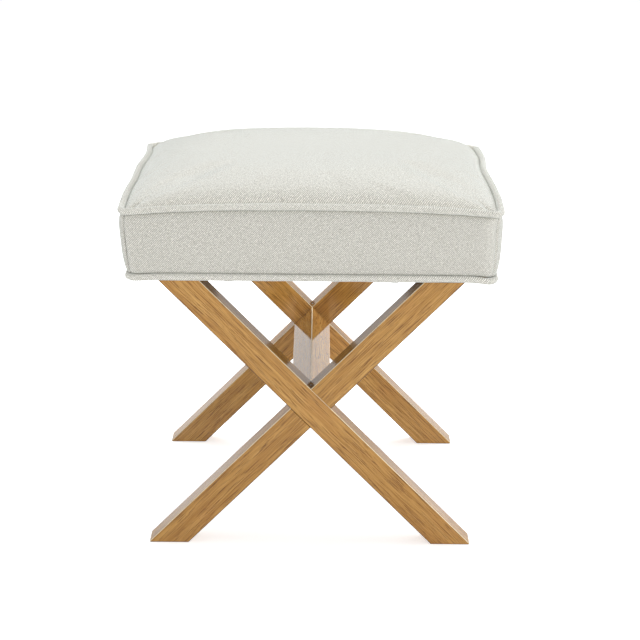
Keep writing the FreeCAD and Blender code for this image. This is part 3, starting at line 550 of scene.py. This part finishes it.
# How far hand sewing leaves the top welt outside its line: place along Y and distance, both in mm
LEFT_DRIFT = ((-219, 2.0), (-120, 1.0), (-60, -2.2), (0, -1.3), (30, -1.5), (75, -4.6), (125, -5.6),
              (189, -1.8), (219, 1.5))
RIGHT_DRIFT = ((-219, -1.0), (-150, 0.0), (-99, -1.2), (-40, -3.3), (11, -5.4), (53, -3.9), (99, -0.2),
               (153, -0.8), (219, -0.5))


EASING = (-18, -9, 0, 9, 18)                # in mm; the drift is the mean of its values so far away


def sewing_drift(x, y):
    """How far the top welt lies outside its line at each point, eased between those places."""
    total = 0
    for step in EASING:
        left, right = (np.interp(y / MM + step, *zip(*table)) for table in (LEFT_DRIFT, RIGHT_DRIFT))
        total = total + np.where(x > 0, right, left)
    return MM * total / len(EASING)


WAVELENGTHS = (0.17, 0.11, 0.07, 0.045)


def ripple(a, b, seed, size):
    """A smooth random wave over two coordinates, about as high as size."""
    rng = np.random.default_rng(seed)
    total = 0
    for wavelength in WAVELENGTHS:
        angle, phase = rng.uniform(0, TAU, 2)
        travel = a * math.cos(angle) + b * math.sin(angle)
        total = total + np.sin(travel * TAU / wavelength + phase) * wavelength / WAVELENGTHS[0]
    return size * total / 2


def eased(part):
    """A share from 0 to 1 that starts and ends gently."""
    return part * part * (3 - 2 * part)


def grid_faces(rows, columns, wrap_rows=False, wrap_columns=False):
    """Quads between neighbouring points of a grid, in one array."""
    row, column = np.meshgrid(
        np.arange(rows if wrap_rows else rows - 1),
        np.arange(columns if wrap_columns else columns - 1),
        indexing="ij",
    )
    next_row, next_column = (row + 1) % rows, (column + 1) % columns
    corners = [row * columns + column, row * columns + next_column,
               next_row * columns + next_column, next_row * columns + column]
    return np.stack(corners, -1).reshape(-1, 4)


def mesh_object(name, points, faces):
    mesh = bpy.data.meshes.new(name)
    mesh.from_pydata(points.reshape(-1, 3).tolist(), [], faces.tolist())
    mesh.polygons.foreach_set("use_smooth", np.ones(len(mesh.polygons), bool))
    thing = bpy.data.objects.new(name, mesh)
    bpy.context.scene.collection.objects.link(thing)
    return thing


def cloth_object(name, points, cloth, wrap_rows=False, wrap_columns=False, seam_shade=None):
    """A grid of cloth; cloth has a row or column more than points in a direction that wraps.

    The last argument says how deep each point lies in a seam, from 0 to 1; the cloth's material paints
    shade there.
    """
    rows, columns = points.shape[:2]
    thing = mesh_object(name, points, grid_faces(rows, columns, wrap_rows, wrap_columns))
    corners = [cloth[:-1, :-1], cloth[:-1, 1:], cloth[1:, 1:], cloth[1:, :-1]]
    flat = np.zeros((cloth[:-1, :-1].shape[0], cloth[:-1, :-1].shape[1], 4, 3), np.float32)
    flat[..., :2] = np.stack(corners, 2)
    layer = thing.data.attributes.new("cloth", "FLOAT_VECTOR", "CORNER")
    layer.data.foreach_set("vector", flat.ravel())
    if seam_shade is not None:
        depth = thing.data.attributes.new("seam_shade", "FLOAT", "POINT")
        depth.data.foreach_set("value", seam_shade.astype(np.float32).ravel())
    return thing


def thicken(thing, thickness):
    """Turn a sheet into a closed shell, with its given face outside."""
    modifier = thing.modifiers.new("thickness", "SOLIDIFY")
    modifier.thickness = thickness
    modifier.offset = -1
    made = bpy.data.meshes.new_from_object(thing.evaluated_get(bpy.context.evaluated_depsgraph_get()))
    thing.modifiers.clear()
    thing.data = made


def normals(points, wrap_columns=False):
    """The outward direction at each point of a grid."""
    if wrap_columns:
        along = np.roll(points, -1, 1) - np.roll(points, 1, 1)
    else:
        along = np.gradient(points, axis=1)
    out = np.cross(along, np.gradient(points, axis=0))
    return out / np.maximum(np.linalg.norm(out, axis=-1, keepdims=True), 1e-12)


def finer(points, axis, wrap=False):
    """Twice as many points along one axis, on smooth curves through the given ones."""
    grid = np.moveaxis(points, axis, 0)
    if wrap:
        padded = np.concatenate([grid[-1:], grid, grid[:2]])
    else:
        padded = np.concatenate([2 * grid[:1] - grid[1:2], grid, 2 * grid[-1:] - grid[-2:-1]])
    between = (9 * (padded[1:-2] + padded[2:-1]) - padded[:-3] - padded[3:]) / 16
    count = len(grid) * 2 if wrap else len(grid) * 2 - 1
    made = np.empty((count, *grid.shape[1:]))
    made[::2] = grid
    made[1::2] = between
    return np.moveaxis(made, 0, axis)


# Soft pieces: the cover over its filling

CELLS = 96                                  # steps along each side of the crown
WALL_ROWS = 22                              # steps up each wall
SEAM_IN = 2.4 * MM                          # the crown's edge lies this far inside the welt's line
CROWN_CAP = 6 * MM                          # the furthest that filling the cover may move its cloth
WALL_CAP = 4 * MM
KEPT = 0.6                                  # share of that movement which the filling allows
FRAMES = 20                                 # length of the simulation
SEAM_HOLD = 0.4                             # how firmly the corner seams are held; at the welts it is 1
SEAM_TUCK = 2.4 * MM                        # how far the crown's edge is pulled down at its seam
WALL_TUCK = 1.2 * MM                        # how far the walls' edges are pulled in at theirs
TUCK_REACH = 3 * MM                         # how far from its seam a wall is pulled in
CORNER_ROUND = 1 * MM                       # how much rounder the walls' corners are than the welts'
SLACK_ROUND = 15 * MM                       # the same at the front right, where the cloth is slack


def crown_form():
    """The crown before it is filled: a grid of rows from front to back."""
    a, b = np.meshgrid(spaced(CELLS), spaced(CELLS))
    x, y, _, _ = plan(a, b, TOP_X - SEAM_IN, TOP_Y - SEAM_IN, TOP_CORNER)
    x = x + np.sign(a) * sewing_drift(a, y) * np.abs(a) ** 8
    side, front, rear = (1 - np.abs(a)) * TOP_X, (1 + b) * TOP_Y, (1 - b) * TOP_Y
    # the crown leaves its welt gently at the front and sides, and at once at the rear
    lift, tuck = 1, 1
    for distance, reach in ((side, 6 * MM), (front, 6 * MM), (rear, 1.5 * MM)):
        lift = lift * (1 - np.exp(-distance / reach))
        tuck = tuck * (1 - hump(distance, 0, 10 * MM))
    swell = ((1 - np.abs(a) ** 3.3) * (1 - np.abs(b) ** 3.6)) ** 0.42
    wave = ripple(x, y, seed=4, size=0.35 * MM) * (1 - a ** 4) * (1 - b ** 4)
    z = TOP_Z + edge_rise(a, b) + CROWN * swell * lift - SEAM_TUCK * (1 - tuck) + wave
    return np.stack([x, y, z], -1)


def wall_form():
    """All four walls before they are filled: rows from the base welt up to the top one."""
    a, b = rim(CELLS)
    rows = []
    for row in range(WALL_ROWS + 1):
        share = 0.5 - 0.5 * math.cos(math.pi * row / WALL_ROWS)
        middle = math.sin(math.pi * share)
        half_x = BASE_X + (TOP_X - BASE_X) * share
        half_y = BASE_Y + (TOP_Y - BASE_Y) * share
        rounder = np.where((a > 0) & (b < 0), SLACK_ROUND, CORNER_ROUND)
        radius = BASE_CORNER + rounder * share ** 0.7 * (1 - share ** 8)
        x, y, out_x, out_y = plan(a, b, half_x, half_y, radius)
        bulge = SIDE_BULGE * (1 - abs(2 * share - 1) ** 3.2) ** 0.6 * (1 - 0.3 * np.abs(a * b) ** 12)
        off = bulge + sewing_drift(x, y) * np.abs(out_x) * share
        # the walls' unevenness differs from column to column, and changes slowly with height
        off = off + ripple(10 * a + x, 10 * b + share * 0.08, seed=9, size=0.5 * MM) * middle
        foot = BASE_Z + WELT * 0.9 - 0.8 * base_droop(x, y)
        head = TOP_Z - WELT * 0.9 + edge_rise(a, b)
        z = foot + (head - foot) * share
        off = off - WALL_TUCK * (hump(z, foot, TUCK_REACH) + hump(z, head, TUCK_REACH))
        rows.append(np.stack([x + out_x * off, y + out_y * off, z], -1))
    return np.array(rows)


RIGHT_DROOP, LEFT_DROOP = 2.6, 1.3          # in mm


def base_droop(x, y):
    """How far the base welt hangs at its front corners, where its folds are thickest."""
    front = hump(y, -BASE_Y, 20 * MM)
    return MM * front * (RIGHT_DROOP * hump(x, BASE_X, 16 * MM) + LEFT_DROOP * hump(x, -BASE_X, 20 * MM))


def cloth_job(points, sewn, wrap):
    """A grid of cloth set up to be blown up, where sewn says how firmly each point is held."""
    rows, columns = points.shape[:2]
    thing = mesh_object("cloth_job", points, grid_faces(rows, columns, False, wrap))
    group = thing.vertex_groups.new(name="sewn")
    for weight in (SEAM_HOLD, 1):
        group.add(np.flatnonzero(sewn.ravel() == weight).tolist(), weight, "REPLACE")
    modifier = thing.modifiers.new("cloth", "CLOTH")
    settings = modifier.settings
    settings.vertex_group_mass = "sewn"
    settings.quality = 6
    settings.mass = 0.25
    settings.tension_stiffness = settings.compression_stiffness = 40
    settings.shear_stiffness = 25
    settings.bending_stiffness = 6
    settings.use_pressure = True
    settings.uniform_pressure_force = 4
    settings.shrink_min = -0.0015
    settings.effector_weights.gravity = 0
    modifier.collision_settings.use_collision = False
    modifier.point_cache.frame_start = 1
    modifier.point_cache.frame_end = FRAMES
    return thing


def inflate(crown, walls):
    """Blow both cloths up against their sewn edges, and return where their points end."""
    sewn_crown = np.zeros(crown.shape[:2])
    sewn_crown[[0, -1], :] = sewn_crown[:, [0, -1]] = 1
    sewn_walls = np.zeros(walls.shape[:2])
    sewn_walls[:, ::CELLS] = SEAM_HOLD
    sewn_walls[[0, -1], :] = 1
    jobs = [
        (cloth_job(crown, sewn_crown, False), crown, CROWN_CAP),
        (cloth_job(walls, sewn_walls, True), walls, WALL_CAP),
    ]
    scene = bpy.context.scene
    for number in range(1, FRAMES + 1):
        scene.frame_set(number)
    graph = bpy.context.evaluated_depsgraph_get()
    results = []
    for thing, points, cap in jobs:
        mesh = thing.evaluated_get(graph).to_mesh()
        found = np.empty(len(mesh.vertices) * 3)
        mesh.vertices.foreach_get("co", found)
        shift = found.reshape(points.shape) - points
        length = np.linalg.norm(shift, axis=-1, keepdims=True)
        results.append(points + KEPT * shift * cap / np.maximum(length, cap))
        bpy.data.objects.remove(thing)
    scene.frame_set(1)
    return results


GROOVE = 1.3 * MM                           # depth of the corner seams
PUCKER = 0.15 * MM                          # height of the puckers beside them
STITCH = 5.5 * MM                           # from one pucker to the next


def sew_corners(walls, run):
    """Press the four corner seams in, let the cloth beside them pucker between stitches, and say how much
    painted shade lies along each seam.
    """
    out = normals(walls, wrap_columns=True)
    length = run[-1]
    seam_shade = np.zeros(walls.shape[:2])
    for corner in range(4):
        away = run[:-1] - run[corner * 2 * CELLS]
        away = (away + length / 2) % length - length / 2
        height = walls[..., 2]
        groove = -GROOVE * hump(away, 0, 1.5 * MM)[None, :]
        beside = hump(np.abs(away), 3.5 * MM, 2.5 * MM)
        pucker = PUCKER * np.sin(height * TAU / STITCH + corner) * beside
        walls = walls + out * (groove + pucker)[..., None]
        # painted shade along this corner seam
        seam_shade = np.maximum(seam_shade, 0.8 * hump(away, 0, 1.0 * MM)[None, :])
    return walls, seam_shade


def measured(line):
    """The distance along a closed line of points, with the full length at the end."""
    steps = np.linalg.norm(np.roll(line, -1, 0) - line, axis=1)
    return np.concatenate([[0], np.cumsum(steps)])


def make_top_panel(crown, flat_crown):
    """The crown's panel, with painted shade along its seam."""
    across, deep = np.meshgrid(*(2 * [1 - np.abs(spaced(2 * CELLS))]))
    edge = np.minimum(across * TOP_X, deep * TOP_Y)
    return cloth_object("top_cover", crown, flat_crown, seam_shade=hump(edge, 0, 3.0 * MM))


def make_wall_panels(walls, flat_walls):
    """The four boxing panels, with their corner seams pressed in, and painted shade along the welts and
    where they meet.
    """
    run = measured(flat_walls[len(flat_walls) // 2])
    walls, seam_shade = sew_corners(walls, run)
    for seam in (0, -1):
        # painted shade along the seams at both welts
        seam_shade = np.maximum(seam_shade, hump(flat_walls[..., 2], flat_walls[seam, :, 2], 1.9 * MM))
    side = 2 * CELLS
    panels = {}
    for number, name in enumerate(("front_cover", "right_cover", "rear_cover", "left_cover")):
        places = np.arange(number * side, (number + 1) * side + 1)
        columns = places % (4 * side)
        heights = flat_walls[:, columns, 2]
        cloth = np.stack([np.broadcast_to(run[places], heights.shape), heights], -1)
        panels[name] = cloth_object(name, walls[:, columns], cloth, seam_shade=seam_shade[:, columns])
    return panels


def make_cover():
    """The top panel and the four wall panels, and the filling that holds them up."""
    crown, walls = crown_form(), wall_form()
    flat_crown, flat_walls = crown[..., :2], walls
    crown, walls = inflate(crown, walls)
    filling = make_filling(crown, walls)
    crown, flat_crown = (finer(finer(grid, 0), 1) for grid in (crown, flat_crown))
    walls, flat_walls = (finer(finer(grid, 0), 1, wrap=True) for grid in (walls, flat_walls))
    panels = {"top_cover": make_top_panel(crown, flat_crown), **make_wall_panels(walls, flat_walls)}
    for panel in panels.values():
        thicken(panel, CLOTH)
    return panels, filling


FRAME_CORNER = 12.8 * MM                    # corner radius of the hollow for the seat's frame
FRAME_GAP = 0.2 * MM                        # room between the frame and the filling
COVER_GAP = 0.5 * MM                        # the same between the cover and the filling


def make_filling(crown, walls):
    """One closed form: crown, walls, and the hollow that the seat's frame fills."""
    gap = CLOTH + COVER_GAP
    crown = crown - normals(crown) * gap
    walls = walls - normals(walls, wrap_columns=True) * gap
    hollow = (rail_high.x + FRAME_GAP, -rail_low.y + FRAME_GAP, FRAME_CORNER)
    x, y, _, _ = plan(*np.meshgrid(spaced(CELLS), spaced(CELLS)), *hollow)
    roof = np.stack([x, y, np.full_like(x, board_high.z)], -1)
    x, y, _, _ = plan(*rim(CELLS), *hollow)
    skirt = np.stack([x, y, walls[0, :, 2]], -1)

    # rings of points, by number: the crown's edge, down the walls, the skirt, and the roof's edge
    above, around = (CELLS + 1) ** 2, 4 * CELLS
    rings = [rim_indices(CELLS)]
    for row in range(len(walls) - 1, -1, -1):
        rings.append(above + row * around + np.arange(around))
    rings.append(above + len(walls) * around + np.arange(around))
    roof_start = above + (len(walls) + 1) * around
    rings.append(roof_start + rim_indices(CELLS))
    quads = grid_faces(CELLS + 1, CELLS + 1)
    faces = [quads, roof_start + quads[:, ::-1]]
    for upper, lower in zip(rings[:-1], rings[1:]):
        faces.append(np.stack([upper, lower, np.roll(lower, -1), np.roll(upper, -1)], -1))
    points = np.concatenate([part.reshape(-1, 3) for part in (crown, walls, skirt, roof)])
    return mesh_object("seat_filling", points, np.concatenate(faces))


# Soft pieces: the welts and the cloth underneath

WELT_SIDES = 20
SHARPEST = 0.8 * MM                         # smallest corner radius of a line round the seat
LIP = 22 * MM                               # width of the base welt's stapled lip
LIP_THICK = 1.2 * MM
LIP_BEND = 4.5 * MM                         # the lip's part beside the bead, which hangs with it


def swept(name, profile, half_x, half_y, radius, spine_z, off, swell, droop=0):
    """A closed cloth section carried round the seat.

    profile has how far each point lies out of the spine and above it, and the distance along the cloth;
    off moves the section outwards, swell thickens it, and droop lets its bead hang, place by place. The
    inner part of a lip stays level, as it is stapled.
    """
    a, b = rim(2 * CELLS)
    rows = []
    for out, up, _ in profile:
        x, y, out_x, out_y = plan(a, b, half_x + out, half_y + out, max(radius + out, SHARPEST))
        shift = off + (swell - 1) * (out if abs(out) <= WELT else 0)
        hanging = min(max(1 + (out + WELT) / LIP_BEND, 0), 1)
        z = spine_z + up * swell - droop * hanging
        rows.append(np.stack([x + out_x * shift, y + out_y * shift, z], -1))
    points = np.array(rows)
    run = measured(points[0])
    lengths = np.append(profile[:, 2], profile[-1, 2] + np.hypot(*(profile[0, :2] - profile[-1, :2])))
    cloth = np.stack(np.meshgrid(run, lengths), -1)
    return cloth_object(name, points, cloth, wrap_rows=True, wrap_columns=True)


def round_profile():
    """A round welt alone."""
    angle = np.arange(WELT_SIDES) / WELT_SIDES * TAU
    return np.stack([WELT * np.cos(angle), WELT * np.sin(angle), WELT * angle], -1)


def lipped_profile():
    """A round welt with the lip that is stapled under the rails."""
    angle = np.radians(np.linspace(-160, 172, WELT_SIDES))
    bead = np.stack([WELT * np.cos(angle), WELT * np.sin(angle)], -1)
    steps = (0.3 * MM, LIP_BEND, LIP / 2, LIP)
    top = [(-WELT - step, 0) for step in steps]
    under = [(-WELT - step, -LIP_THICK) for step in reversed(steps)]
    outline = np.concatenate([bead, top, under])
    lengths = np.linalg.norm(np.diff(outline, axis=0), axis=1)
    return np.column_stack([outline, np.concatenate([[0], np.cumsum(lengths)])])


def lumps(points, seed, size, count):
    """Factors for a hand-sewn welt's thickness at points round the seat, with count lumps."""
    rng = np.random.default_rng(seed)
    knots = rng.uniform(-1, 1, count)
    place = np.linspace(0, count, points, endpoint=False)
    low = place.astype(int)
    part = eased(place - low)
    return 1 + size * (knots[low] * (1 - part) + knots[(low + 1) % count] * part)


def make_welts():
    """The corded welt round the top seam, and the one round the bottom edge with its lip."""
    a, b = rim(2 * CELLS)
    x, y, out_x, _ = plan(a, b, TOP_X, TOP_Y, TOP_CORNER)
    upper = swept(
        "upper_welt", round_profile(), TOP_X, TOP_Y, TOP_CORNER, TOP_Z + edge_rise(a, b),
        off=sewing_drift(x, y) * np.abs(out_x), swell=lumps(len(a), seed=5, size=0.05, count=90),
    )
    lower = swept(
        "lower_welt", lipped_profile(), BASE_X, BASE_Y, BASE_CORNER, BASE_Z,
        off=0, swell=lumps(len(a), seed=6, size=0.04, count=80), droop=base_droop(x, y),
    )
    return upper, lower


DUST_CLOTH = 0.6 * MM                       # thickness of the cloth under the seat
SAG = 1.6 * MM                              # how far it hangs in the middle
SLACK_WAVE = 1.0 * MM                       # height of its waves
PLATE_STRIP = 30 * MM                       # its flat part at the front and the rear, by the plates


def make_underside():
    """The dust cloth: tight at its staples, a little slack between the rails."""
    half_x, half_y = dust_high.x, dust_high.y
    x, y = np.meshgrid(np.linspace(-half_x, half_x, 141), np.linspace(-half_y, half_y, 137))
    free = (1 - np.abs(x / half_x) ** 6) * (1 - np.abs(y / (half_y - PLATE_STRIP)).clip(0, 1) ** 6)
    sag = SAG * free + ripple(x, y, seed=21, size=SLACK_WAVE) * free
    z = dust_low.z - sag
    points = np.stack([x, y, z], -1)[::-1]
    cloth = np.stack([x, y], -1)[::-1]
    thing = cloth_object("underside_cloth", points, cloth)
    thicken(thing, DUST_CLOTH)
    return thing


def make_soft_pieces():
    """Build every soft piece, hide the CAD parts that it takes the place of, and give it its material."""
    # the crown and the welts get lighter copies of the walls' cloth: painted light where the top and the
    # welts' beads face the lamps
    fabric = twill("twill", 1.10)
    crown_fabric_painted_light = twill("crown_twill", 1.15)
    welt_fabric_painted_light = twill("welt_twill", 1.22)
    panels, filling = make_cover()
    upper, lower = make_welts()
    underside = make_underside()
    for name, panel in panels.items():
        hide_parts("cover_" + name.replace("_cover", "_panel"))
    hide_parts("foam_pad", "wadding")
    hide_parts("top_welt", "top_welt_cord")
    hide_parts("base_welt", "base_welt_cord")
    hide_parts("dust_cover")
    for name, panel in panels.items():
        wear(panel, crown_fabric_painted_light if name == "top_cover" else fabric)
    for welt in (upper, lower):
        wear(welt, welt_fabric_painted_light)
    wear(filling, wadding())
    wear(underside, black_cloth())
    for thing in (*panels.values(), filling, upper, lower, underside):
        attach(thing, BODY)


# Studio

SKY_LIGHT = 0.55                            # strength of the white sky as a light; it is seen as 1
FLOOR_GREY = 0.80
FLOOR_GLOW = 0.55                           # added where the floor is seen, and not as a light
FLOOR_HALF = 30.0                           # from the stool to each edge of the floor
LIT_POINT = Vector((0, 0, 0.3))             # every lamp faces it
LAMPS = {                                   # place, width, height and power
    "overhead": ((0.2, 1.8, 2.8), 2.4, 2.4, 84),
    "front_fill": ((0.3, -3.6, 0.85), 4.0, 1.6, 47),
    "left_fill": ((-3.2, 0.2, 1.4), 2.0, 2.0, 25),
    "right_fill": ((3.2, 0.2, 1.4), 2.0, 2.0, 51),
}


def seen(g):
    """1 for rays from the camera, also mirrored or passed on, and 0 for rays that gather light."""
    path = g.node("ShaderNodeLightPath")
    straight = g.maths("MAXIMUM", path.outputs["Is Camera Ray"], path.outputs["Is Glossy Ray"])
    return g.maths("MAXIMUM", straight, path.outputs["Is Transmission Ray"])


def make_sky():
    """A plain white sky, which lights the stool softly from all round."""
    world = bpy.data.worlds.new("studio")
    bpy.context.scene.world = world
    g = Graph(world)
    strength = g.spread(seen(g), 0, 1, SKY_LIGHT, 1.0)
    sky = g.node("ShaderNodeBackground", {"Color": (1, 1, 1, 1), "Strength": strength})
    output = g.node("ShaderNodeOutputWorld")
    g.feed(output.inputs["Surface"], sky.outputs[0])


def make_floor():
    """A matt floor that looks nearly white and reaches far past the stool."""
    corners = FLOOR_HALF * np.array([(-1, -1, 0), (1, -1, 0), (1, 1, 0), (-1, 1, 0)])
    floor = mesh_object("floor", corners, np.array([(0, 1, 2, 3)]))
    material, g = new_material("floor")
    matt = g.node("ShaderNodeBsdfDiffuse", {"Color": (FLOOR_GREY, FLOOR_GREY, FLOOR_GREY, 1)})
    strength = g.maths("MULTIPLY", seen(g), FLOOR_GLOW)
    glow = g.node("ShaderNodeEmission", {"Color": (1, 1, 1, 1), "Strength": strength})
    both = g.node("ShaderNodeAddShader")
    g.feed(both.inputs[0], matt.outputs[0])
    g.feed(both.inputs[1], glow.outputs[0])
    output = g.node("ShaderNodeOutputMaterial")
    g.feed(output.inputs["Surface"], both.outputs[0])
    wear(floor, material)


def lamp(name, place, width, height, power):
    """A soft box that the camera and the lacquer don't see."""
    data = bpy.data.lights.new(name, "AREA")
    data.shape = "RECTANGLE"
    data.size = width
    data.size_y = height
    data.energy = power
    box = bpy.data.objects.new(name, data)
    box.location = place
    box.rotation_euler = (LIT_POINT - Vector(place)).to_track_quat("-Z", "Y").to_euler()
    box.visible_camera = False
    box.visible_glossy = False
    bpy.context.scene.collection.objects.link(box)


def make_studio():
    """Sky, floor and lamps."""
    make_sky()
    make_floor()
    for name, row in LAMPS.items():
        lamp(name, *row)


make_camera()
make_studio()
bpy.context.scene.view_settings.view_transform = "Standard"
finish_nodes()
make_soft_pieces()
